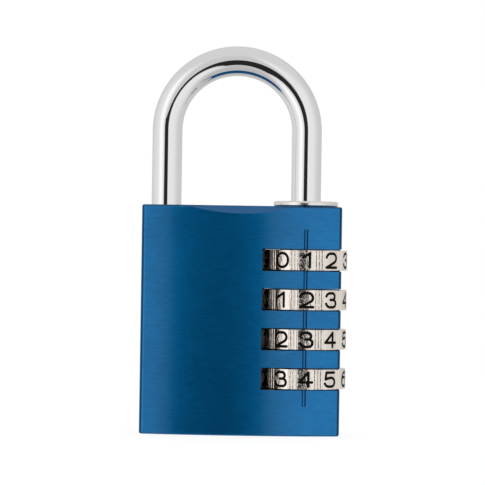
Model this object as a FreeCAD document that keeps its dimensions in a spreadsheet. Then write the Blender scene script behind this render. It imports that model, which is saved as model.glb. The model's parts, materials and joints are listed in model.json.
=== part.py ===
import FreeCAD, Part

import os

import Sketcher
from FreeCAD import Placement, Rotation, Vector

# A four-wheel combination padlock with an anodised aluminium block and a lifting shackle.
# Frame: the origin is the middle of the block's underside, +Z up, the index face looks along -Y,
# and the number wheels sit on the +X side, on the axis of the shackle's long leg. Lengths are in
# millimetres, and index_lead is in degrees.

DIMENSIONS = {
    # the block: its front and back swell out from the two sides to the middle
    "body_width": 40.0,
    "body_height": 45.8,
    "body_depth": 16.3,
    "side_depth": 11.6,
    "corner_radius": 1.0,
    "edge_radius": 0.4,
    "bevel_height": 1.6,
    "bevel_depth": 0.75,
    # the two holes that take the shackle's legs, and the index line over the wheels
    "heel_x": 12.8,
    "bore_radius": 5.55,
    "bore_floor": 2.0,
    "toe_hole_radius": 3.15,
    "toe_hole_depth": 6.3,
    "hole_chamfer": 0.25,
    "index_width": 0.8,
    "index_floor_near": 6.95,
    "index_floor_far": 6.83,
    "index_low": 5.95,
    "index_high": 41.2,
    # the wheels and the slots that a disc cutter leaves for them
    "wheel_top": 35.1,
    "wheel_pitch": 7.9,
    "wheel_radius": 8.5,
    "wheel_height": 4.05,
    "wheel_bore": 5.55,
    "rim_radius": 0.25,
    "facet_reach": 8.39,
    "facet_crown": 0.15,
    "facet_half_width": 1.66,
    "ridge_pitch": 0.64,
    "ridge_reach": 8.48,
    "valley_reach": 8.35,
    "index_lead": 2.15,
    "slot_height": 4.45,
    "cutter_radius": 20.0,
    "slot_reach": 2.5,
    "slot_back_left": 6.2,
    "slot_back_right": 3.55,
    "window_height": 4.11,
    "window_reach": 4.8,
    "window_from": 3.0,
    "digit_stroke": 0.55,
    "digit_spread": 1.06,
    "digit_depth": 0.2,
    # the ring of splines inside each wheel, and the hub that slides through it
    "spline_low": 0.35,
    "spline_radius": 5.08,
    "spline_half_gap": 0.75,
    "hub_radius": 5.0,
    "hub_journal_radius": 5.45,
    "hub_low": -3.2,
    "hub_journal_top": -2.4,
    "hub_high": 4.2,
    "pocket_radius": 4.35,
    "pocket_top": 2.2,
    "tooth_low": 0.4,
    "tooth_high": 2.0,
    "tooth_half_width": 0.5,
    "gate_half_width": 1.8,
    "rod_running_radius": 3.1,
    # the rings between the hubs, and the spring under the stack
    "ring_height": 0.5,
    "ring_inner": 4.4,
    "ring_outer": 5.45,
    "spring_radius": 4.7,
    "spring_wire": 0.7,
    "spring_turns": 4.0,
    # the shackle, with one lug on its long leg for each hub
    "shackle_span": 28.08,
    "rod_radius": 3.0,
    "arch_height": 60.9,
    "toe_low": 40.2,
    "heel_low": 7.0,
    "tip_chamfer": 0.5,
    "lug_radius": 4.2,
    "lug_half_width": 1.7,
    "lug_low": -1.5,
    "lug_height": 1.8,
    # the collar that closes the bore around the long leg, and its cross pin
    "collar_radius": 6.5,
    "collar_height": 1.1,
    "collar_edge": 0.4,
    "collar_foot": 0.3,
    "plug_radius": 5.56,
    "plug_low": 42.6,
    "collar_bore": 3.05,
    "skirt_low": 39.35,
    "pin_radius": 0.75,
    "pin_height": 44.2,
    "pin_inner": 4.5,
    "pin_outer": 7.0,
    # the bowed leaf behind each wheel
    "leaf_half_length": 5.2,
    "leaf_height": 4.3,
    "leaf_end": 3.2,
    "leaf_bow": 3.5,
    "leaf_thickness": 0.3,
    "nose_reach": 4.24,
    "nose_half_width": 0.6,
    # how far a cut or a lump runs past the surface it starts from
    "overlap": 0.3,
}

WHEELS = 4
DIGITS = 10
# degrees from the middle of a digit's facet to the middle of the ridges after it
HALF_STEP = 180 / DIGITS

# Each digit is one or more pen strokes about its own middle, in millimetres. A stroke is a start, then one
# point for a straight run to it, or two for an arc through the first to the second. A loop runs anticlockwise.
STROKES = {
    0: [[(-1.2, 0.19), ((-1.2, -0.19),), ((0, -1.39), (1.2, -0.19)), ((1.2, 0.19),),
         ((0, 1.39), (-1.2, 0.19))]],
    1: [[(-0.75, 0.6), ((0.45, 1.39),), ((0.45, -1.39),)]],
    2: [[(-1.15, 0.62), ((-0.85, 1.17), (-0.26, 1.39)), ((0.2, 1.39),), ((1.11, 0.68), (0.65, -0.37)),
         ((-1.2, -1.39),), ((1.2, -1.39),)]],
    3: [[(-1.1, 0.78), ((-0.8, 1.22), (-0.3, 1.39)), ((0.25, 1.39),), ((0.9, 0.735), (0.25, 0.08)),
         ((-0.15, 0.08),)],
        [(-0.15, 0.08), ((0.4, 0.08),), ((1.135, -0.655), (0.4, -1.39)), ((-0.2, -1.39),),
         ((-0.79, -1.2), (-1.15, -0.7))]],
    4: [[(-1.2, -0.55), ((0.5, 1.39),), ((0.5, -1.39),)],
        [(0.5, 1.39), ((-1.2, -0.55),), ((1.2, -0.55),)]],
    5: [[(1.05, 1.39), ((-0.85, 1.39),), ((-1.0, 0.05),), ((-0.37, 0.27), (0.3, 0.35)),
         ((1.17, -0.52), (0.3, -1.39)), ((-0.25, -1.39),), ((-0.79, -1.23), (-1.15, -0.8))]],
    6: [[(0.96, 1.1), ((0.69, 1.31), (0.35, 1.39)), ((-0.73, 0.94), (-1.175, -0.135)), ((-1.175, -0.5),)],
        [(0.3, 0.36), ((-0.3, 0.36),), ((-1.175, -0.515), (-0.3, -1.39)), ((0.3, -1.39),),
         ((1.175, -0.515), (0.3, 0.36))]],
    7: [[(-1.2, 1.39), ((1.2, 1.39),), ((0.0, 0.1), (-0.4, -1.39))]],
    8: [[(0.27, 1.39), ((-0.27, 1.39),), ((-0.935, 0.725), (-0.27, 0.06)), ((0.27, 0.06),),
         ((0.935, 0.725), (0.27, 1.39))],
        [(0.43, 0.06), ((-0.43, 0.06),), ((-1.155, -0.665), (-0.43, -1.39)), ((0.43, -1.39),),
         ((1.155, -0.665), (0.43, 0.06))]],
    9: [[(-0.96, -1.1), ((-0.69, -1.31), (-0.35, -1.39)), ((0.73, -0.94), (1.175, 0.135)), ((1.175, 0.5),)],
        [(-0.3, -0.36), ((0.3, -0.36),), ((1.175, 0.515), (0.3, 1.39)), ((-0.3, 1.39),),
         ((-1.175, 0.515), (-0.3, -0.36))]],
}

doc = FreeCAD.newDocument("padlock")
dims = doc.addObject("Spreadsheet::Sheet", "dims")
for row, (alias, value) in enumerate(DIMENSIONS.items(), start=1):
    dims.set(f"A{row}", alias)
    dims.set(f"B{row}", str(value))
    dims.setAlias(f"B{row}", alias)
doc.recompute()


# ---------------------------------------------------------------- sketches

def value_of(expression):
    return float(dims.evalExpression(expression.replace("dims.", "")))


def sketch_on(body, name, plane="XY_Plane", height="0"):
    """A sketch on one of the body's own origin planes, raised along the plane's normal."""
    sketch = body.newObject("Sketcher::SketchObject", name)
    support = next(item for item in body.Origin.OriginFeatures if item.Role == plane)
    sketch.AttachmentSupport = (support, [""])
    sketch.MapMode = "FlatFace"
    if height != "0":
        sketch.setExpression("AttachmentOffset.Base.z", height)
    return sketch


def turn_sketch(sketch, degrees):
    sketch.setExpression("AttachmentOffset.Rotation.Angle", degrees)


def pin_point(sketch, item, point, place):
    """Hold one point of a sketch at a pair of expressions, measured from the sketch's origin."""
    for kind, expression, axis in (("DistanceX", place[0], -2), ("DistanceY", place[1], -1)):
        distance = value_of(expression)
        if abs(distance) < 1e-9:
            sketch.addConstraint(Sketcher.Constraint("PointOnObject", item, point, axis))
            continue
        number = sketch.addConstraint(Sketcher.Constraint(kind, -1, 1, item, point, distance))
        sketch.setExpression(f"Constraints[{number}]", expression)


def draw_circle(sketch, radius, x="0", y="0"):
    centre = Vector(value_of(x), value_of(y), 0)
    item = sketch.addGeometry(Part.Circle(centre, Vector(0, 0, 1), value_of(radius)), False)
    pin_point(sketch, item, 3, (x, y))
    number = sketch.addConstraint(Sketcher.Constraint("Radius", item, value_of(radius)))
    sketch.setExpression(f"Constraints[{number}]", radius)


def draw_outline(sketch, corners, arcs=None):
    """A closed outline through the corners. arcs maps a corner's number to a point that the side
    from that corner to the next one passes through."""
    arcs = arcs or {}
    places = [Vector(value_of(x), value_of(y), 0) for x, y in corners]
    sides = []
    for number, start in enumerate(places):
        finish = places[(number + 1) % len(places)]
        if number not in arcs:
            side, ends = Part.LineSegment(start, finish), (1, 2)
        else:
            middle = Vector(value_of(arcs[number][0]), value_of(arcs[number][1]), 0)
            if (middle - start).cross(finish - start).z > 0:
                side, ends = Part.Arc(start, middle, finish), (1, 2)
            else:
                side, ends = Part.Arc(finish, middle, start), (2, 1)
        sides.append((sketch.addGeometry(side, False), ends))
    for number, (item, ends) in enumerate(sides):
        following, following_ends = sides[(number + 1) % len(sides)]
        sketch.addConstraint(Sketcher.Constraint("Coincident", item, ends[1], following, following_ends[0]))
        pin_point(sketch, item, ends[0], corners[number])
    for number, place in arcs.items():
        middle = Vector(value_of(place[0]), value_of(place[1]), 0)
        marker = sketch.addGeometry(Part.Point(middle), True)
        pin_point(sketch, marker, 1, place)
        sketch.addConstraint(Sketcher.Constraint("PointOnObject", marker, 1, sides[number][0]))


def draw_box(sketch, low_x, low_y, high_x, high_y):
    draw_outline(sketch, [(low_x, low_y), (high_x, low_y), (high_x, high_y), (low_x, high_y)])


# ---------------------------------------------------------------- features

def new_body(name, x="0", z="0"):
    body = doc.addObject("PartDesign::Body", name)
    body.Label = name
    if x != "0":
        body.setExpression("Placement.Base.x", x)
    if z != "0":
        body.setExpression("Placement.Base.z", z)
    return body


def add_feature(body, kind, name, sketch, length):
    """A Pad, which grows along the sketch's normal, or a Pocket, which cuts against it."""
    feature = body.newObject(f"PartDesign::{kind}", name)
    feature.Profile = sketch
    feature.setExpression("Length", length)
    sketch.Visibility = False
    doc.recompute()
    return feature


def revolve(body, name, sketch):
    feature = body.newObject("PartDesign::Revolution", name)
    feature.Profile = sketch
    feature.ReferenceAxis = (sketch, ["V_Axis"])
    feature.Angle = 360
    doc.recompute()
    return feature


def repeat_around(body, name, feature, count):
    pattern = body.newObject("PartDesign::PolarPattern", name)
    pattern.Originals = [feature]
    pattern.Axis = (next(item for item in body.Origin.OriginFeatures if item.Role == "Z_Axis"), [""])
    pattern.Angle = 360
    pattern.Occurrences = count
    body.Tip = pattern
    doc.recompute()
    return pattern


def repeat_down(body, name, feature):
    """Repeat a feature once for each wheel, going down from the top one."""
    pattern = body.newObject("PartDesign::LinearPattern", name)
    pattern.Originals = [feature]
    pattern.Direction = (next(item for item in body.Origin.OriginFeatures if item.Role == "Z_Axis"), [""])
    pattern.Reversed = True
    pattern.setExpression("Length", f"{WHEELS - 1} * dims.wheel_pitch")
    pattern.Occurrences = WHEELS
    body.Tip = pattern
    doc.recompute()
    return pattern


def dress_edges(body, kind, name, base, size, wanted):
    """A Fillet or Chamfer on each edge of the base feature that the test picks out."""
    names = [f"Edge{number}" for number, edge in enumerate(base.Shape.Edges, start=1) if wanted(edge)]
    feature = body.newObject(f"PartDesign::{kind}", name)
    feature.Base = (base, names)
    feature.setExpression("Radius" if kind == "Fillet" else "Size", size)
    body.Tip = feature
    doc.recompute()
    return feature


def lies_at(edge, height):
    return abs(edge.BoundBox.ZMin - height) < 1e-6 and abs(edge.BoundBox.ZMax - height) < 1e-6


def wheel_height_at(number):
    return f"dims.wheel_top - {number} * dims.wheel_pitch"


# ---------------------------------------------------------------- the block

def make_body_housing():
    body = new_body("body_housing")
    outline = sketch_on(body, "block_outline")
    side, edge = "dims.body_width / 2", "dims.side_depth / 2"
    draw_outline(outline,
                 [(f"-{side}", f"-{edge}"), (side, f"-{edge}"), (side, edge), (f"-{side}", edge)],
                 {0: ("0", "-dims.body_depth / 2"), 2: ("0", "dims.body_depth / 2")})
    block = add_feature(body, "Pad", "block", outline, "dims.body_height")

    height = value_of("body_height")
    corners = dress_edges(body, "Fillet", "upright_corners", block, "dims.corner_radius",
                          lambda item: item.BoundBox.ZLength > height - 1)
    dress_edges(body, "Fillet", "end_edges", corners, "dims.edge_radius",
                lambda item: lies_at(item, 0) or lies_at(item, height))

    for name, side_sign in (("front_bevel", "-"), ("back_bevel", "")):
        wedge = sketch_on(body, f"{name}_wedge", "YZ_Plane", "dims.body_width / 2")
        face = f"{side_sign}dims.body_depth / 2"
        inset = f"{side_sign}(dims.body_depth / 2 - dims.bevel_depth)"
        outside = f"{side_sign}(dims.body_depth / 2 + dims.bevel_depth)"
        low = "dims.body_height - dims.bevel_height"
        high = "dims.body_height + dims.bevel_height"
        draw_outline(wedge, [(face, low), (inset, "dims.body_height"),
                             (f"{side_sign}(dims.body_depth / 2 - 2 * dims.bevel_depth)", high),
                             (outside, high), (outside, low)])
        add_feature(body, "Pocket", name, wedge, "dims.body_width")

    bore = sketch_on(body, "bore_circle", height="dims.body_height")
    draw_circle(bore, "dims.bore_radius", "dims.heel_x")
    add_feature(body, "Pocket", "bore", bore, "dims.body_height - dims.bore_floor")

    toe = sketch_on(body, "toe_circle", height="dims.body_height")
    draw_circle(toe, "dims.toe_hole_radius", "dims.heel_x - dims.shackle_span")
    toe_hole = add_feature(body, "Pocket", "toe_hole", toe, "dims.toe_hole_depth")
    toe_x = value_of("heel_x - shackle_span")
    dress_edges(body, "Chamfer", "toe_hole_mouth", toe_hole, "dims.hole_chamfer",
                lambda item: lies_at(item, height) and abs(item.BoundBox.Center.x - toe_x) < 0.01)

    # each slot is cut with a large cutter from the front, and opens at the back through a lower, shorter window
    def cut_at(depth):
        return ("dims.slot_reach + dims.cutter_radius"
                f" - sqrt(dims.cutter_radius * dims.cutter_radius - {depth} * {depth})")

    slot = sketch_on(body, "slot_outline", height="dims.wheel_top + dims.slot_height / 2")
    draw_outline(slot,
                 [(cut_at("dims.body_depth"), "-dims.body_depth"), ("dims.body_width", "-dims.body_depth"),
                  ("dims.body_width", "dims.slot_back_right"),
                  (cut_at("dims.slot_back_left"), "dims.slot_back_left")],
                 {3: ("dims.slot_reach", "0")})
    first_slot = add_feature(body, "Pocket", "slot", slot, "dims.slot_height")
    repeat_down(body, "wheel_slots", first_slot)
    window = sketch_on(body, "window_outline", height="dims.wheel_top + dims.window_height / 2")
    draw_box(window, "dims.window_reach", "dims.window_from", "dims.body_width", "dims.body_depth")
    first_window = add_feature(body, "Pocket", "window", window, "dims.window_height")
    repeat_down(body, "back_windows", first_window)

    # its floor follows the slope of the bowed face
    index = sketch_on(body, "index_strip", height="dims.index_high")
    near, far = "dims.heel_x - dims.index_width / 2", "dims.heel_x + dims.index_width / 2"
    draw_outline(index, [(near, "-dims.body_depth"), (far, "-dims.body_depth"),
                         (far, "-dims.index_floor_far"), (near, "-dims.index_floor_near")])
    add_feature(body, "Pocket", "index_line", index, "dims.index_high - dims.index_low")

    pin = sketch_on(body, "pin_circle", "XZ_Plane")
    draw_circle(pin, "dims.pin_radius", "dims.heel_x", "dims.pin_height")
    add_feature(body, "Pocket", "pin_hole", pin, "dims.body_depth")
    return body


# ---------------------------------------------------------------- the shackle and its collar

def make_shackle():
    body = new_body("shackle")
    toe_x = "dims.heel_x - dims.shackle_span"
    ring = sketch_on(body, "heel_section", height="dims.arch_height")
    draw_circle(ring, "dims.rod_radius", "dims.heel_x")
    arch = body.newObject("PartDesign::Revolution", "arch")
    arch.Profile = ring
    pivot = sketch_on(body, "arch_pivot", height="dims.arch_height")
    middle = "dims.heel_x - dims.shackle_span / 2"
    ends = [Vector(value_of(middle), value_of(place), 0) for place in ("-dims.rod_radius", "dims.rod_radius")]
    line = pivot.addGeometry(Part.LineSegment(*ends), False)
    for point, place in ((1, "-dims.rod_radius"), (2, "dims.rod_radius")):
        pin_point(pivot, line, point, (middle, place))
    arch.ReferenceAxis = (pivot, ["Edge1"])
    arch.Angle = 180
    doc.recompute()
    if arch.Shape.BoundBox.ZMax < value_of("arch_height + shackle_span / 2"):
        arch.Reversed = True
        doc.recompute()

    toe = sketch_on(body, "toe_section", height="dims.toe_low")
    draw_circle(toe, "dims.rod_radius", toe_x)
    add_feature(body, "Pad", "toe_leg", toe, "dims.arch_height - dims.toe_low")
    heel = sketch_on(body, "heel_leg_section", height="dims.heel_low")
    draw_circle(heel, "dims.rod_radius", "dims.heel_x")
    legs = add_feature(body, "Pad", "heel_leg", heel, "dims.arch_height - dims.heel_low")
    dress_edges(body, "Chamfer", "leg_tips", legs, "dims.tip_chamfer",
                lambda item: lies_at(item, value_of("toe_low")) or lies_at(item, value_of("heel_low")))

    # a lug points along -X from the long leg; its outer side is an arc about the leg's axis
    lug = sketch_on(body, "lug_outline", height="dims.wheel_top + dims.lug_low")
    inner = "dims.heel_x - dims.rod_radius / 2"
    outer = "dims.heel_x - sqrt(dims.lug_radius ^ 2 - dims.lug_half_width ^ 2)"
    draw_outline(lug, [(inner, "-dims.lug_half_width"), (inner, "dims.lug_half_width"),
                       (outer, "dims.lug_half_width"), (outer, "-dims.lug_half_width")],
                 {2: ("dims.heel_x - dims.lug_radius", "0")})
    first_lug = add_feature(body, "Pad", "lug", lug, "dims.lug_height")
    repeat_down(body, "lugs", first_lug)
    return body


def make_heel_collar():
    body = new_body("heel_collar", x="dims.heel_x")
    section = sketch_on(body, "collar_section", "XZ_Plane")
    top = "dims.body_height + dims.collar_height"
    softened = "(1 - sqrt(0.5))"
    draw_outline(section,
                 [("dims.collar_bore", "dims.plug_low"), ("dims.pocket_radius", "dims.plug_low"),
                  ("dims.pocket_radius", "dims.skirt_low"), ("dims.plug_radius", "dims.skirt_low"),
                  ("dims.plug_radius", "dims.body_height"),
                  ("dims.collar_radius - dims.collar_foot", "dims.body_height"),
                  ("dims.collar_radius", "dims.body_height + dims.collar_foot"),
                  ("dims.collar_radius", f"{top} - dims.collar_edge"),
                  ("dims.collar_radius - dims.collar_edge", top), ("dims.collar_bore", top)],
                 {7: (f"dims.collar_radius - dims.collar_edge * {softened}",
                      f"{top} - dims.collar_edge * {softened}")})
    revolve(body, "collar", section)
    hole = sketch_on(body, "pin_seat", "XZ_Plane", "-dims.pin_inner")
    draw_circle(hole, "dims.pin_radius", y="dims.pin_height")
    add_feature(body, "Pocket", "pin_hole", hole, "dims.pin_outer")
    return body


def make_collar_pin():
    body = new_body("collar_pin", x="dims.heel_x")
    circle = sketch_on(body, "pin_circle", "XZ_Plane", "-dims.pin_outer")
    draw_circle(circle, "dims.pin_radius", y="dims.pin_height")
    add_feature(body, "Pad", "pin", circle, "dims.pin_outer - dims.pin_inner")
    return body


# ---------------------------------------------------------------- the number wheels

def stroke_face(stroke):
    """The flat area that a round pen covers along one stroke of a digit."""
    spread = value_of("digit_spread")

    def place(point):
        return Vector(point[0] * spread, point[1], 0)

    start = place(stroke[0])
    edges = []
    for step in stroke[1:]:
        finish = place(step[-1])
        if len(step) == 1:
            curve = Part.LineSegment(start, finish)
        else:
            curve = Part.Arc(start, place(step[0]), finish)
        edges.append(curve.toShape())
        start = finish
    path = Part.Wire(edges)
    pen = value_of("digit_stroke / 2")
    if not path.isClosed():
        return Part.Face(path.makeOffset2D(pen, 0, False, False, False))
    outside = Part.Face(path.makeOffset2D(pen))
    inside = Part.Face(path.makeOffset2D(-pen))
    return outside.cut(inside).Faces[0]


def digit_cutter(digit):
    """A digit as a solid that reaches into a wheel's facet, standing on the facet that faces +X."""
    depth = value_of("digit_depth")
    faces = [stroke_face(stroke) for stroke in STROKES[digit]]
    area = faces[0].fuse(faces[1:]).removeSplitter() if len(faces) > 1 else faces[0]
    solid = area.extrude(Vector(0, 0, 2 * depth))
    upright = Rotation(Vector(0, 1, 0), Vector(0, 0, 1), Vector(1, 0, 0), "XYZ")
    solid.Placement = Placement(Vector(value_of("facet_reach - digit_depth"), 0, 0), upright)
    return solid


def make_digit_ring():
    """The ten digits around a wheel: 0 faces +X and they count up anticlockwise, seen from above."""
    ring = doc.addObject("Part::Feature", "digit_ring")
    cutters = []
    for digit in range(DIGITS):
        cutter = digit_cutter(digit)
        cutter.rotate(Vector(), Vector(0, 0, 1), 360 / DIGITS * digit)
        cutters.append(cutter)
    ring.Shape = Part.Compound(cutters)
    return ring


def make_wheel_blank():
    """A wheel without its digits, about its own middle: ten facets with a ribbed strip between each two."""
    body = new_body("wheel_blank")
    section = sketch_on(body, "wheel_section", "XZ_Plane")
    half = "dims.wheel_height / 2"
    softened = "dims.rim_radius * (1 - sqrt(0.5))"
    draw_outline(section,
                 [("dims.wheel_bore", f"-{half}"), ("dims.wheel_radius - dims.rim_radius", f"-{half}"),
                  ("dims.wheel_radius", f"-{half} + dims.rim_radius"),
                  ("dims.wheel_radius", f"{half} - dims.rim_radius"),
                  ("dims.wheel_radius - dims.rim_radius", half), ("dims.spline_radius", half),
                  ("dims.spline_radius", "dims.spline_low"), ("dims.wheel_bore", "dims.spline_low")],
                 {1: (f"dims.wheel_radius - {softened}", f"-{half} + {softened}"),
                  3: (f"dims.wheel_radius - {softened}", f"{half} - {softened}")})
    revolve(body, "rim", section)

    # the cut that leaves a facet is an arc, which crowns the facet a little
    strip = sketch_on(body, "facet_strip", height=half)
    edge = "(dims.facet_reach - dims.facet_crown)"
    width = "dims.facet_half_width"
    outside = "dims.wheel_radius + dims.overlap"
    draw_outline(strip,
                 [(edge, width), (edge, f"-{width}"),
                  (outside, f"-({width} + dims.overlap)"), (outside, f"{width} + dims.overlap")],
                 {0: ("dims.facet_reach", "0")})
    facet = add_feature(body, "Pocket", "facet", strip, "dims.wheel_height")
    repeat_around(body, "facets", facet, DIGITS)

    # half a step round lies the strip between two facets, which keeps three rounded ridges
    strip = sketch_on(body, "ridge_strip", height=half)
    turn_sketch(strip, f"{HALF_STEP}")
    end_x = f"{edge} * cos({HALF_STEP} deg) + {width} * sin({HALF_STEP} deg)"
    end_y = f"({edge} * sin({HALF_STEP} deg) - {width} * cos({HALF_STEP} deg))"
    pitch = "dims.ridge_pitch"
    side_crest = f"sqrt(dims.ridge_reach ^ 2 - {pitch} ^ 2)"
    draw_outline(strip,
                 [(end_x, f"-{end_y}"), ("dims.valley_reach", f"-{pitch} / 2"),
                  ("dims.valley_reach", f"{pitch} / 2"), (end_x, end_y),
                  (outside, end_y), (outside, f"-{end_y}")],
                 {0: (side_crest, f"-{pitch}"), 1: ("dims.ridge_reach", "0"), 2: (side_crest, pitch)})
    ridges = add_feature(body, "Pocket", "ridges", strip, "dims.wheel_height")
    repeat_around(body, "ridge_strips", ridges, DIGITS)

    # the splines line up with the hub's teeth while the digits lead the index line a little
    gap = sketch_on(body, "spline_gap", height=half)
    turn_sketch(gap, f"{HALF_STEP} - dims.index_lead")
    draw_box(gap, "dims.spline_radius - dims.overlap", "-dims.spline_half_gap",
             "dims.wheel_bore", "dims.spline_half_gap")
    spline = add_feature(body, "Pocket", "spline", gap, "dims.wheel_height / 2 - dims.spline_low")
    repeat_around(body, "splines", spline, DIGITS)
    return body


def make_number_wheel(number, blank, digits):
    """Wheel 1 is the top one and shows 1 at the index line, wheel 2 shows 2, and so on."""
    wheel = doc.addObject("Part::Cut", f"number_wheel_{number}")
    wheel.Base = blank
    wheel.Tool = digits
    turn = value_of("index_lead") - 90 - 360 / DIGITS * number
    wheel.Placement = Placement(Vector(), Rotation(Vector(0, 0, 1), turn))
    wheel.setExpression("Placement.Base.x", "dims.heel_x")
    wheel.setExpression("Placement.Base.z", wheel_height_at(number - 1))
    return wheel


def make_detent_spring(number):
    """A leaf spring bowed against the end of its slot, with a nose for the valleys between the ridges."""
    body = new_body(f"detent_spring_{number}")
    outline = sketch_on(body, "leaf_outline", height=f"{wheel_height_at(number - 1)} - dims.leaf_height / 2")
    end, bow = "dims.leaf_end", "dims.leaf_bow"
    thick_end, thick_bow = f"{end} + dims.leaf_thickness", f"{bow} + dims.leaf_thickness"
    length, nose = "dims.leaf_half_length", "dims.nose_half_width"
    bend = "(dims.leaf_bow - dims.leaf_end) / 4"
    draw_outline(outline,
                 [(thick_end, f"-{length}"), (thick_bow, f"-{nose}"), ("dims.nose_reach", "0"),
                  (thick_bow, nose), (thick_end, length), (end, length), (end, f"-{length}")],
                 {0: (f"({thick_end} + {thick_bow}) / 2 + {bend}", f"-({length} + {nose}) / 2"),
                  3: (f"({thick_end} + {thick_bow}) / 2 + {bend}", f"({length} + {nose}) / 2"),
                  5: (bow, "0")})
    add_feature(body, "Pad", "leaf", outline, "dims.leaf_height")
    return body


# ---------------------------------------------------------------- the hubs and what stacks with them

def make_wheel_hub(number):
    """A hub about its wheel's middle: journal below, spline teeth inside the wheel, gate on top."""
    body = new_body(f"wheel_hub_{number}", x="dims.heel_x", z=wheel_height_at(number - 1))
    section = sketch_on(body, "hub_section", "XZ_Plane")
    draw_outline(section,
                 [("dims.pocket_radius", "dims.hub_low"), ("dims.hub_journal_radius", "dims.hub_low"),
                  ("dims.hub_journal_radius", "dims.hub_journal_top"),
                  ("dims.hub_radius", "dims.hub_journal_top"), ("dims.hub_radius", "dims.hub_high"),
                  ("dims.rod_running_radius", "dims.hub_high"),
                  ("dims.rod_running_radius", "dims.pocket_top"), ("dims.pocket_radius", "dims.pocket_top")])
    revolve(body, "hub", section)

    tooth_box = sketch_on(body, "tooth_box", height="dims.tooth_low")
    draw_box(tooth_box, "dims.hub_radius - dims.overlap", "-dims.tooth_half_width",
             "dims.hub_journal_radius", "dims.tooth_half_width")
    tooth = add_feature(body, "Pad", "tooth", tooth_box, "dims.tooth_high - dims.tooth_low")
    repeat_around(body, "teeth", tooth, DIGITS)

    gate = sketch_on(body, "gate_outline", height="dims.hub_high")
    outer = "-sqrt(dims.pocket_radius ^ 2 - dims.gate_half_width ^ 2)"
    draw_outline(gate, [("0", "-dims.gate_half_width"), ("0", "dims.gate_half_width"),
                        (outer, "dims.gate_half_width"), (outer, "-dims.gate_half_width")],
                 {2: ("-dims.pocket_radius", "0")})
    add_feature(body, "Pocket", "gate", gate, "dims.hub_high - dims.pocket_top")
    return body


def make_ring(name, low):
    """A flat ring of the stack, with its underside at the given height."""
    body = new_body(name, x="dims.heel_x", z=low)
    circles = sketch_on(body, "ring_circles")
    draw_circle(circles, "dims.ring_outer")
    draw_circle(circles, "dims.ring_inner")
    add_feature(body, "Pad", "ring", circles, "dims.ring_height")
    return body


def make_return_spring(washer_low):
    """A coil spring that stands on the bore's floor and pushes the stack of hubs up."""
    body = new_body("hub_return_spring", x="dims.heel_x", z="dims.bore_floor")
    wire = sketch_on(body, "wire_section", "XZ_Plane")
    draw_circle(wire, "dims.spring_wire / 2", "dims.spring_radius", "dims.spring_wire / 2")
    coil = body.newObject("PartDesign::AdditiveHelix", "coil")
    coil.Profile = wire
    coil.ReferenceAxis = (wire, ["V_Axis"])
    coil.Mode = "height-turns-angle"
    coil.setExpression("Height", f"{washer_low} - dims.bore_floor - dims.spring_wire")
    coil.setExpression("Turns", "dims.spring_turns")
    body.Tip = coil
    doc.recompute()
    return body


# ---------------------------------------------------------------- the assembly

pieces = [make_body_housing(), make_shackle(), make_heel_collar(), make_collar_pin()]

wheel_blank = make_wheel_blank()
digit_ring = make_digit_ring()
for wheel_number in range(1, WHEELS + 1):
    pieces.append(make_number_wheel(wheel_number, wheel_blank, digit_ring))
    pieces.append(make_wheel_hub(wheel_number))
    pieces.append(make_detent_spring(wheel_number))

for ring_number in range(1, WHEELS):
    ring_low = f"{wheel_height_at(ring_number - 1)} + dims.hub_low - dims.ring_height"
    pieces.append(make_ring(f"spacer_ring_{ring_number}", ring_low))
lowest = f"({wheel_height_at(WHEELS - 1)} + dims.hub_low - dims.ring_height)"
pieces.append(make_ring("thrust_washer", lowest))
pieces.append(make_return_spring(lowest))

doc.recompute()
for item in doc.Objects:
    faults = {"Invalid", "Error"}.intersection(item.State)
    if faults:
        raise RuntimeError(f"{item.Label} is {sorted(faults)}")
for piece in pieces:
    if piece.Shape.isNull() or not piece.Shape.isValid():
        raise RuntimeError(f"{piece.Label} has no valid shape")
    if len(piece.Shape.Solids) != 1:
        raise RuntimeError(f"{piece.Label} has {len(piece.Shape.Solids)} solids")

os.makedirs("parts", exist_ok=True)
for piece in pieces:
    piece.Shape.exportStep(f"parts/{piece.Label}.step")
    box = piece.Shape.BoundBox
    print(f"{piece.Label}: {piece.Shape.Volume:.1f} mm3, x {box.XMin:.2f} to {box.XMax:.2f}, "
          f"y {box.YMin:.2f} to {box.YMax:.2f}, z {box.ZMin:.2f} to {box.ZMax:.2f}")
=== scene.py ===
import json
import math
from functools import reduce

import bpy
import numpy as np
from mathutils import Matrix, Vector


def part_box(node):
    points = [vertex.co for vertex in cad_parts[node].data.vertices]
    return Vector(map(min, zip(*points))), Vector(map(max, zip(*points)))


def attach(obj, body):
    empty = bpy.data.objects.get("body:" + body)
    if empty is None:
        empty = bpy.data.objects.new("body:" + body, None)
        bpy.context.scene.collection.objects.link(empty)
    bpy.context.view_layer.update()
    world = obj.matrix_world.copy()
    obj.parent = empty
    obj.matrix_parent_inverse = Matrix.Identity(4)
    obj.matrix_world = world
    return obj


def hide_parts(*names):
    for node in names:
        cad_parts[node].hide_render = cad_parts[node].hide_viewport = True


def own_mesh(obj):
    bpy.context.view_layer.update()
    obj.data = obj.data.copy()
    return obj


# The looks of a four-wheel combination padlock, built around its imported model.
# Metres; +Z up, the index face looks along -Y, the number wheels are on the +X side.

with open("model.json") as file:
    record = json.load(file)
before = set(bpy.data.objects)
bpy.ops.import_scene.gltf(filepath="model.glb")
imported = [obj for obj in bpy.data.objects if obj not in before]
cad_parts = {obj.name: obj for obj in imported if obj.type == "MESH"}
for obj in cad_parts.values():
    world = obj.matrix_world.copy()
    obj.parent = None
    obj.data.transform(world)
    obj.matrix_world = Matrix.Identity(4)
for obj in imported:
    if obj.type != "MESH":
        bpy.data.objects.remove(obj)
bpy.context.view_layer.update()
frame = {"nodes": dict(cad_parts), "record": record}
MM = 0.001

# ---------------------------------------------------------------- sizes

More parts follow.
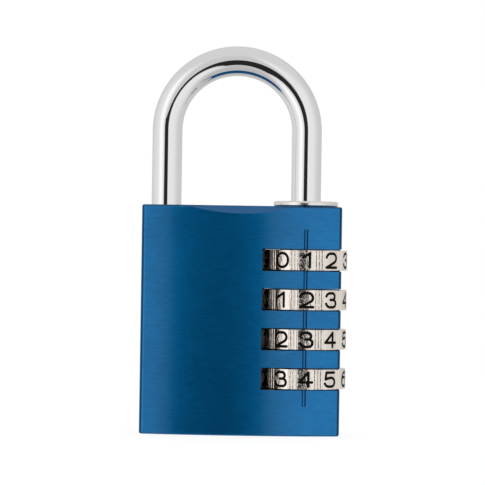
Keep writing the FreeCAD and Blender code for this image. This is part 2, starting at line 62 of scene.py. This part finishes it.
# the number wheels, their crowned facets and the digits engraved in them
WHEELS = [node for node in sorted(frame["nodes"]) if node.startswith("number_wheel_")]
DIGITS = 10
INDEX_LEAD = math.radians(2.15)
FACET_HALF_WIDTH = 1.66 * MM
FACET_CROWN = 0.15 * MM
DIGIT_DEPTH = 0.2 * MM
ENAMEL_SINK = 0.03 * MM
# how well a triangle's direction and distance have to fit to be part of a digit's floor
SAME_DIRECTION = 0.9999
SAME_DISTANCE = 0.01 * MM
# corners closer than this are one corner
SAME_PLACE = 0.0001 * MM
# how far from a wheel's axis its rib grooves get full tarnish and painted shade, and from where they are bright
TARNISH_AND_SHADE_FADE = (8.28 * MM, 8.40 * MM)
# the upward part of the normal over which tarnish and painted shade fade, so that none is on the wheel's ends
UPRIGHT_FADE = (0.05, 0.15)

# the coil under the hubs
WIRE = 0.7 * MM
WIRE_SIDES = 16
COIL_TURNS = 4
COIL_STEPS = 48

# the block, with its bowed faces
BLOCK_LOW, BLOCK_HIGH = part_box("body_housing")
BLOCK_CROWN = 2.35 * MM
INDEX_X = sum(corner.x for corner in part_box("heel_collar")) / 2
# the upward part of the normal on a level surface, and on the bevel with the range around it
LEVEL = 0.7
BEVEL_RISE = (0.42, 0.12)
# the depths under the bowed face where the slots' end walls begin, and where all is inside
WALL_DEPTH = 0.1 * MM
INSIDE_DEPTH = 0.5 * MM
SIDE_SKIN = 0.1 * MM
# the upright band across the block that holds the end walls of all its wheel slots, and the share of its height
SLOT_ENDS_X = 4.5 * MM
SLOT_ENDS_FADE = (2.5 * MM, 2.6 * MM)
SLOTS_SHARE = 0.4
# the depths over which the painted highlight on the lip of an end wall fades away
LIP_FADE = (0.95 * MM, 1.25 * MM)
# the corners of the index groove, by their depth and their distance from the groove's middle
CORNER_DEPTH = 0.06 * MM
CORNER_FADE = (0.06 * MM, 0.22 * MM)
CORNER_END = 0.5 * MM
# the top end and bevels, and the rounded edges: how far in from the sides, the top and the bowed face
TOP_ZONE = 2.5 * MM
SIDE_RIM = (0.6 * MM, 0.4 * MM)
TOP_RIM = (0.3 * MM, 0.12 * MM)
RIM_DEPTH = (0.25 * MM, 0.5 * MM)

CAMERA_DISTANCE = 600 * MM
CAMERA_HEIGHT = 38.45 * MM
CAMERA_SIDE = 0.15 * MM
CAMERA_ROLL = math.radians(0.88)
CAMERA_CLIP = (50 * MM, 5000 * MM)
SENSOR_WIDTH = 36
VIEW_WIDTH = 97.7 * MM

FLOOR_RADIUS = 300 * MM
FLOOR_SIDES = 96
FLOOR_DROP = 0.02 * MM
FLOOR_GLOW = 0.85

# ---------------------------------------------------------------- light and colours

# how bright the studio tent is at each bearing from the lock, in degrees to the right of the camera
TENT = ((-180, 0.62), (-135, 0.66), (-100, 0.75), (-72, 0.8), (-60, 0.93), (-48, 1.08), (-36, 0.97), (-28, 0.82),
        (-20, 0.62), (6, 0.6), (14, 0.88), (24, 0.83), (45, 0.83), (60, 0.79), (76, 0.7), (90, 0.66), (120, 0.61),
        (180, 0.62))
TENT_ROOF = 0.68
TENT_BASE = 0.5
TENT_HORIZON = (-10, 10)
# the angles from the horizon, in degrees, between which the tent's wall fades into its roof or base
TENT_SHOULDER = (28, 50)
# the dark gap in the tent that the lens looks through: bearings, then heights, in degrees
LENS_GAP = ((-20, 7), (-32, 5))
LENS_DARK = (0.02, 0.02, 0.02)

BLUE_DARKER = (0.0007, 0.150, 0.402)
BLUE_LIGHTER = (0.0008, 0.216, 0.545)
# painted shade on the upward-facing bevel
SHADED_BEVEL_BLUE = (0.030, 0.134, 0.325)
# painted shade on the top end, the rounded edges and the index groove's corners
SHADED_BLUE = (0.0005, 0.022, 0.07)
# painted shade inside the wheel slots
SHADED_WALL = (0.010, 0.010, 0.012)
# painted highlight along the lip of each slot's end wall
PAINTED_LIP_HIGHLIGHT = (0.88, 0.86, 0.83)
CHROME = (0.93, 0.93, 0.94)
COLLAR_NICKEL = (0.93, 0.90, 0.86)
WHEEL_NICKEL = (0.99, 0.92, 0.845)
# tarnish with painted shade in the wheels' rib grooves
TARNISH_AND_SHADE = (0.30, 0.165, 0.08)
# painted shade: brass coloured dark, so the hubs look shaded in the gaps between the wheels
SHADED_BRASS = (0.24, 0.17, 0.08)
STEEL = (0.56, 0.56, 0.57)
ENAMEL_DARKER = (0.002, 0.0015, 0.001)
ENAMEL_LIGHTER = (0.007, 0.005, 0.004)
FLOOR_GREY = (0.2, 0.2, 0.2)
BLACK = (0.0, 0.0, 0.0)
WHITE = (1.0, 1.0, 1.0)


# ---------------------------------------------------------------- helpers

class Nodes:
    """The node tree of a material or a world, with short calls for the few kinds of node that are used here."""

    def __init__(self, owner):
        owner.use_nodes = True
        self.owner = owner
        self.tree = owner.node_tree
        self.shader = self.tree.nodes.get("Principled BSDF")

    def add(self, kind, **settings):
        node = self.tree.nodes.new(kind)
        for key, value in settings.items():
            setattr(node, key, value)
        return node

    def feed(self, socket, value):
        """Give a socket a colour, a number or the output of another node."""
        if isinstance(value, tuple):
            socket.default_value = (*value, 1.0)
        elif isinstance(value, (int, float)):
            socket.default_value = value
        else:
            self.tree.links.new(value, socket)

    def set(self, **sockets):
        """Feed the shader's sockets, whose names have a _ here for each space."""
        for name, value in sockets.items():
            self.feed(self.shader.inputs[name.replace("_", " ")], value)

    def math(self, operation, *values):
        node = self.add("ShaderNodeMath", operation=operation)
        for socket, value in zip(node.inputs, values):
            self.feed(socket, value)
        return node.outputs[0]

    def above(self, value, limit):
        return self.math("GREATER_THAN", value, limit)

    def below(self, value, limit):
        return self.math("LESS_THAN", value, limit)

    def all_of(self, *masks):
        return reduce(lambda first, second: self.math("MULTIPLY", first, second), masks)

    def any_of(self, *masks):
        return reduce(lambda first, second: self.math("MAXIMUM", first, second), masks)

    def part(self, mask, share):
        """A mask at less than its full strength."""
        return self.math("MULTIPLY", mask, share)

    def gap(self, first, second):
        """The distance between two values."""
        return self.math("ABSOLUTE", self.math("SUBTRACT", first, second))

    def length(self, first, second):
        """The length of a line with these two lengths along its axes."""
        squares = [self.math("MULTIPLY", value, value) for value in (first, second)]
        return self.math("SQRT", self.math("ADD", *squares))

    def place(self):
        """The point's place in the object's own frame, in metres."""
        return self.add("ShaderNodeTexCoord").outputs["Object"]

    def normal_z(self):
        """The upward part of the surface's normal."""
        return self.split(self.add("ShaderNodeNewGeometry").outputs["Normal"])[2]

    def split(self, vector):
        node = self.add("ShaderNodeSeparateXYZ")
        self.feed(node.inputs[0], vector)
        return node.outputs

    def noise(self, place, cells, detail=2.0, roughness=0.5):
        """Noise about 0.5, with cells of the given sizes in millimetres along x, y and z."""
        mapping = self.add("ShaderNodeMapping")
        mapping.inputs["Scale"].default_value = [1 / (size * MM) for size in cells]
        self.feed(mapping.inputs["Vector"], place)
        node = self.add("ShaderNodeTexNoise")
        for name, value in (("Scale", 1.0), ("Detail", detail), ("Roughness", roughness),
                            ("Vector", mapping.outputs[0])):
            self.feed(node.inputs[name], value)
        return node.outputs["Fac"]

    def ramp(self, value, low, high, out_low=0.0, out_high=1.0):
        """From one number to another as the value goes from low to high, and level beyond them."""
        node = self.add("ShaderNodeMapRange", clamp=True)
        for socket, number in zip(node.inputs, (value, low, high, out_low, out_high)):
            self.feed(socket, number)
        return node.outputs[0]

    def fade(self, value, low, high):
        """From 1 to 0 as the value goes from low to high."""
        return self.ramp(value, low, high, 1.0, 0.0)

    def spread(self, noise, low=0.0, high=1.0):
        """Noise stretched over a range."""
        return self.ramp(noise, 0.3, 0.7, low, high)

    def blend(self, factor, first, second):
        """The first colour where the factor is 0, and the second where it is 1."""
        node = self.add("ShaderNodeMix", data_type="RGBA")
        for index, value in ((0, factor), (6, first), (7, second)):
            self.feed(node.inputs[index], value)
        return node.outputs[2]

    def bump(self, height, strength, distance):
        node = self.add("ShaderNodeBump")
        for name, value in (("Strength", strength), ("Distance", distance), ("Height", height)):
            self.feed(node.inputs[name], value)
        self.set(Normal=node.outputs[0])


def centre_of(node):
    low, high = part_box(node)
    return (low + high) / 2


def add_object(name, data):
    thing = bpy.data.objects.new(name, data)
    bpy.context.scene.collection.objects.link(thing)
    return thing


def mesh_of(name, places, faces, finish):
    mesh = bpy.data.meshes.new(name)
    mesh.from_pydata(places, [], faces)
    mesh.update()
    mesh.materials.append(finish)
    return mesh


# ---------------------------------------------------------------- materials

def block_masks(n, place):
    """Where the block gets painted shade and a painted highlight: its slot walls and the lip along their ends, its
    groove's corners, top end, bevels and rims.
    """
    x, y, z = n.split(place)
    normal_z = n.normal_z()
    side = n.math("ABSOLUTE", x)
    half_width = BLOCK_HIGH.x
    radius = (half_width ** 2 + BLOCK_CROWN ** 2) / (2 * BLOCK_CROWN)
    from_bow_centre = n.math("ADD", n.math("ABSOLUTE", y), radius + BLOCK_LOW.y)
    depth = n.math("SUBTRACT", radius, n.length(x, from_bow_centre))

    end_wall = n.all_of(n.above(depth, WALL_DEPTH), n.fade(n.gap(x, SLOT_ENDS_X), *SLOT_ENDS_FADE))
    flat_wall = n.above(n.math("ABSOLUTE", normal_z), LEVEL)
    deep_wall = n.all_of(n.above(depth, INSIDE_DEPTH), n.below(side, half_width - SIDE_SKIN))
    between_ends = n.below(n.gap(z, (BLOCK_LOW.z + BLOCK_HIGH.z) / 2), SLOTS_SHARE * (BLOCK_HIGH.z - BLOCK_LOW.z))

    from_index = n.gap(x, INDEX_X)
    near_top = n.above(z, BLOCK_HIGH.z - TOP_ZONE)
    side_rims = n.ramp(side, *(half_width - inwards for inwards in SIDE_RIM))
    top_rim = n.ramp(z, *(BLOCK_HIGH.z - down for down in TOP_RIM))
    return {
        "walls": n.all_of(n.any_of(end_wall, flat_wall, deep_wall), between_ends),
        "lip": n.all_of(end_wall, n.fade(depth, *LIP_FADE)),
        "corners": n.all_of(n.above(depth, CORNER_DEPTH), n.ramp(from_index, *CORNER_FADE),
                            n.below(from_index, CORNER_END)),
        "top_end": n.all_of(n.above(normal_z, LEVEL), near_top),
        "bevel": n.all_of(n.math("COMPARE", normal_z, *BEVEL_RISE), near_top),
        "rims": n.all_of(n.any_of(side_rims, top_rim), n.fade(depth, *RIM_DEPTH)),
    }


def blue_anodised():
    """Aluminium brushed from side to side, then anodised blue under a thin clear seal."""
    n = Nodes(bpy.data.materials.new("blue_anodised"))
    place = n.place()
    masks = block_masks(n, place)
    walls = masks["walls"]
    grain = n.noise(place, (4, 4, 0.08), 3)
    streaks = n.noise(place, (1.8, 1.8, 0.2), 3, 0.6)
    cloud = n.noise(place, (9, 9, 9))
    shade = n.math("ADD", n.part(streaks, 0.7), n.part(cloud, 0.3))
    face = n.blend(n.ramp(shade, 0.35, 0.65), BLUE_DARKER, BLUE_LIGHTER)
    # painted shade: the bevel, which faces partly upwards, is coloured a duller, darker blue than the face
    face = n.blend(n.part(masks["bevel"], 0.85), face, SHADED_BEVEL_BLUE)
    # painted shade: the top end, the rounded edges and the groove's corners are coloured a deeper blue, and the
    # seal is thinner there
    painted_shade = n.any_of(n.part(masks["corners"], 0.9), n.part(masks["top_end"], 0.55), n.part(masks["rims"], 0.8))
    # painted shade: the inside of the slots is coloured near black, but for a painted highlight along the lip of
    # each slot's end
    inside = n.blend(masks["lip"], SHADED_WALL, PAINTED_LIP_HIGHLIGHT)
    dull = n.math("SUBTRACT", walls, masks["lip"])
    n.set(Base_Color=n.blend(walls, n.blend(painted_shade, face, SHADED_BLUE), inside),
          Metallic=n.math("SUBTRACT", 1.0, dull),
          Roughness=n.math("ADD", n.spread(grain, 0.28, 0.34), n.part(dull, 0.6)),
          Coat_Weight=n.math("MULTIPLY", n.math("SUBTRACT", 1.0, walls),
                             n.math("SUBTRACT", 0.85, n.part(painted_shade, 0.85))),
          Coat_Roughness=0.12,
          Coat_IOR=1.4)
    n.bump(grain, 0.35, 0.006 * MM)
    return n.owner


def chrome():
    """Polished chrome on the bent rod, with the faintest polishing marks."""
    n = Nodes(bpy.data.materials.new("chromed_steel"))
    marks = n.noise(n.place(), (0.6, 0.6, 4), 3)
    n.set(Base_Color=CHROME, Metallic=1.0, Roughness=n.spread(marks, 0.02, 0.05))
    return n.owner


def satin_nickel():
    """Satin nickel on the turned collar."""
    n = Nodes(bpy.data.materials.new("satin_nickel"))
    marks = n.noise(n.place(), (0.4, 0.4, 0.08), 3)
    n.set(Base_Color=COLLAR_NICKEL, Metallic=1.0, Roughness=n.spread(marks, 0.12, 0.20))
    n.bump(marks, 0.2, 0.004 * MM)
    return n.owner


def wheel_nickel(centre):
    """Bright nickel on a cast wheel: its facets ripple a little, and the rib grooves hold warm tarnish with
    painted shade.
    """
    n = Nodes(bpy.data.materials.new("wheel_nickel"))
    place = n.place()
    x, y, _ = n.split(place)
    reach = n.length(n.math("SUBTRACT", x, centre.x), n.math("SUBTRACT", y, centre.y))
    sunk = n.all_of(n.fade(reach, *TARNISH_AND_SHADE_FADE), n.fade(n.math("ABSOLUTE", n.normal_z()), *UPRIGHT_FADE))
    ripple = n.noise(place, (0.7, 0.7, 0.9), 3)
    n.set(Base_Color=n.blend(sunk, WHEEL_NICKEL, TARNISH_AND_SHADE), Metallic=1.0, Roughness=n.spread(ripple, 0.08, 0.16))
    n.bump(ripple, 1.0, 0.11 * MM)
    return n.owner


def plain_metal(name, color, smoothest, roughest):
    """Turned or rolled metal for the inner pieces."""
    n = Nodes(bpy.data.materials.new(name))
    marks = n.noise(n.place(), (1.5, 1.5, 0.08), 3)
    n.set(Base_Color=color, Metallic=1.0, Roughness=n.spread(marks, smoothest, roughest))
    n.bump(marks, 0.3, 0.01 * MM)
    return n.owner


def black_enamel():
    """Dull black paint with a fine grit in it."""
    n = Nodes(bpy.data.materials.new("black_enamel"))
    grit = n.noise(n.place(), (0.15, 0.15, 0.15))
    n.set(Base_Color=n.blend(n.spread(grit), ENAMEL_DARKER, ENAMEL_LIGHTER), Roughness=n.spread(grit, 0.5, 0.65),
          Specular_IOR_Level=0.1)
    n.bump(grit, 0.2, 0.01 * MM)
    return n.owner


def dress_nodes():
    """Make each slot's material, and give it to the CAD nodes of that slot."""
    finishes = {
        "blue_anodised": blue_anodised(),
        "chromed_steel": chrome(),
        "satin_nickel": satin_nickel(),
        "wheel_nickel": wheel_nickel(centre_of(WHEELS[0])),
        # painted shade: the hubs' brass is dark to stand for the shade between the wheels
        "brass": plain_metal("brass", SHADED_BRASS, 0.3, 0.45),
        "spring_steel": plain_metal("spring_steel", STEEL, 0.22, 0.34),
        "black_enamel": black_enamel(),
    }
    for piece in frame["record"]["subparts"]:
        for slot in frame["nodes"][piece["node"]].material_slots:
            slot.material = finishes[piece["material_slot"]]
    return finishes


# ---------------------------------------------------------------- the enamel in the engraved digits

def floor_triangles(mesh, centre):
    """The flat floors of a wheel's engraved digits: each triangle's corners and its facet's direction."""
    step = 2 * math.pi / DIGITS
    first = INDEX_LEAD - math.pi / 2
    level = []
    for polygon in mesh.polygons:
        spot = polygon.center - centre
        turn = round((math.atan2(spot.y, spot.x) - first) / step) * step + first
        out = Vector((math.cos(turn), math.sin(turn), 0))
        if polygon.normal.dot(out) >= SAME_DIRECTION:
            corners = [mesh.vertices[index].co.copy() for index in polygon.vertices]
            level.append((corners, out, spot.dot(out)))
    floor = np.median([reach for _, _, reach in level])
    return [(corners, out) for corners, out, reach in level if abs(reach - floor) < SAME_DISTANCE]


def enamel_mesh(name, triangles, centre, finish):
    """A closed slab on the triangles: its underside on them, its top following the crowned facet."""
    places = []
    numbers = {}
    raised = []

    def number_of(place, out):
        key = tuple(round(value / SAME_PLACE) for value in place)
        if key not in numbers:
            numbers[key] = len(places)
            across = (place - centre).cross(out).z / FACET_HALF_WIDTH
            places.append(place)
            raised.append(place + out * (DIGIT_DEPTH - ENAMEL_SINK - FACET_CROWN * across ** 2))
        return numbers[key]

    floor = [tuple(number_of(corner, out) for corner in corners) for corners, out in triangles]
    count = len(places)
    edges = [(face[k], face[(k + 1) % 3]) for face in floor for k in range(3)]
    known = set(edges)
    faces = [tuple(index + count for index in face) for face in floor]
    faces += [tuple(reversed(face)) for face in floor]
    faces += [(a, b, b + count, a + count) for a, b in edges if (b, a) not in known]
    return mesh_of(name, places + raised, faces, finish)


def fill_digits(finish):
    for node in WHEELS:
        number = node[-1]
        name = f"digit_enamel_{number}"
        centre = centre_of(node)
        triangles = floor_triangles(frame["nodes"][node].data, centre)
        piece = add_object(name, enamel_mesh(name, triangles, centre, finish))
        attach(piece, f"wheel_{number}")


# ---------------------------------------------------------------- the coil under the hubs

def coil_mesh(name, axis, low, high, reach, finish):
    """A round wire wound about an upright axis from one height to another, with flat ends."""
    count = COIL_TURNS * COIL_STEPS + 1
    up = Vector((0, 0, 1))
    places = []
    for step in range(count):
        turn = 2 * math.pi * step / COIL_STEPS
        out = Vector((math.cos(turn), math.sin(turn), 0))
        height = low + WIRE / 2 + (high - low - WIRE) * step / (count - 1)
        middle = axis + out * (reach - WIRE / 2) + up * height
        for side in range(WIRE_SIDES):
            angle = 2 * math.pi * side / WIRE_SIDES
            places.append(middle + (out * math.cos(angle) + up * math.sin(angle)) * (WIRE / 2))
    faces = [tuple(range(WIRE_SIDES)), tuple(reversed(range(len(places) - WIRE_SIDES, len(places))))]
    for start in range(0, len(places) - WIRE_SIDES, WIRE_SIDES):
        for side in range(WIRE_SIDES):
            here, there = start + side, start + (side + 1) % WIRE_SIDES
            faces.append((here, here + WIRE_SIDES, there + WIRE_SIDES, there))
    mesh = mesh_of(name, places, faces, finish)
    mesh.shade_smooth()
    return mesh


def add_coil(finish):
    """The coil spring as a mesh, fixed to the housing in place of the hub return spring from the model."""
    low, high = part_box("hub_return_spring")
    mesh = coil_mesh("return_coil", Vector((INDEX_X, 0, 0)), low.z, high.z, high.x - INDEX_X, finish)
    piece = add_object("return_coil", mesh)
    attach(piece, "housing")
    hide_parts("hub_return_spring")
    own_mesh(piece)


# ---------------------------------------------------------------- the studio

def add_floor():
    """A round, pale floor that glows a little, so that it stays as pale as the backdrop."""
    n = Nodes(bpy.data.materials.new("floor"))
    n.set(Base_Color=FLOOR_GREY, Roughness=1.0, Emission_Color=WHITE, Emission_Strength=FLOOR_GLOW)
    turns = [2 * math.pi * k / FLOOR_SIDES for k in range(FLOOR_SIDES)]
    rim = [(FLOOR_RADIUS * math.cos(turn), FLOOR_RADIUS * math.sin(turn), -FLOOR_DROP) for turn in turns]
    floor = add_object("floor", mesh_of("floor", rim, [tuple(range(FLOOR_SIDES))], n.owner))
    floor.visible_glossy = False


def add_tent():
    """A soft white tent all round as the world's light, with a dark gap in it where the lens looks in."""
    n = Nodes(bpy.data.worlds.new("tent"))
    x, y, z = n.split(n.add("ShaderNodeTexCoord").outputs["Generated"])
    bearing = n.math("DEGREES", n.math("ARCTAN2", x, n.math("MULTIPLY", y, -1.0)))
    rise = n.math("DEGREES", n.math("ARCSINE", z))

    wall = n.add("ShaderNodeValToRGB")
    stops = wall.color_ramp.elements
    for degrees, level in TENT[1:-1]:
        stops.new(degrees / 360 + 0.5).color = (level, level, level, 1.0)
    for stop, (_, level) in ((stops[0], TENT[0]), (stops[-1], TENT[-1])):
        stop.color = (level, level, level, 1.0)
    n.feed(wall.inputs[0], n.math("ADD", n.math("DIVIDE", bearing, 360.0), 0.5))

    ends = n.blend(n.ramp(rise, *TENT_HORIZON, TENT_BASE, TENT_ROOF), BLACK, WHITE)
    light = n.blend(n.ramp(n.math("ABSOLUTE", rise), *TENT_SHOULDER), wall.outputs[0], ends)
    (left, right), (low, high) = LENS_GAP
    gap = n.all_of(n.above(bearing, left), n.below(bearing, right), n.above(rise, low), n.below(rise, high))
    light = n.blend(gap, light, LENS_DARK)
    seen = n.add("ShaderNodeLightPath").outputs["Is Camera Ray"]
    n.feed(n.tree.nodes["Background"].inputs["Color"], n.blend(seen, light, WHITE))
    bpy.context.scene.world = n.owner


def add_camera():
    data = bpy.data.cameras.new("camera")
    data.sensor_width = SENSOR_WIDTH
    data.lens = SENSOR_WIDTH * CAMERA_DISTANCE / VIEW_WIDTH
    data.clip_start, data.clip_end = CAMERA_CLIP
    camera = add_object("camera", data)
    camera.location = (CAMERA_SIDE, -CAMERA_DISTANCE, CAMERA_HEIGHT)
    camera.rotation_mode = "XYZ"
    camera.rotation_euler = (math.pi / 2, 0, 0)
    camera.rotation_euler.rotate_axis("Z", CAMERA_ROLL)
    bpy.context.scene.camera = camera


materials = dress_nodes()
fill_digits(materials["black_enamel"])
add_coil(materials["spring_steel"])
add_tent()
add_floor()
add_camera()
bpy.context.scene.view_settings.view_transform = "Standard"
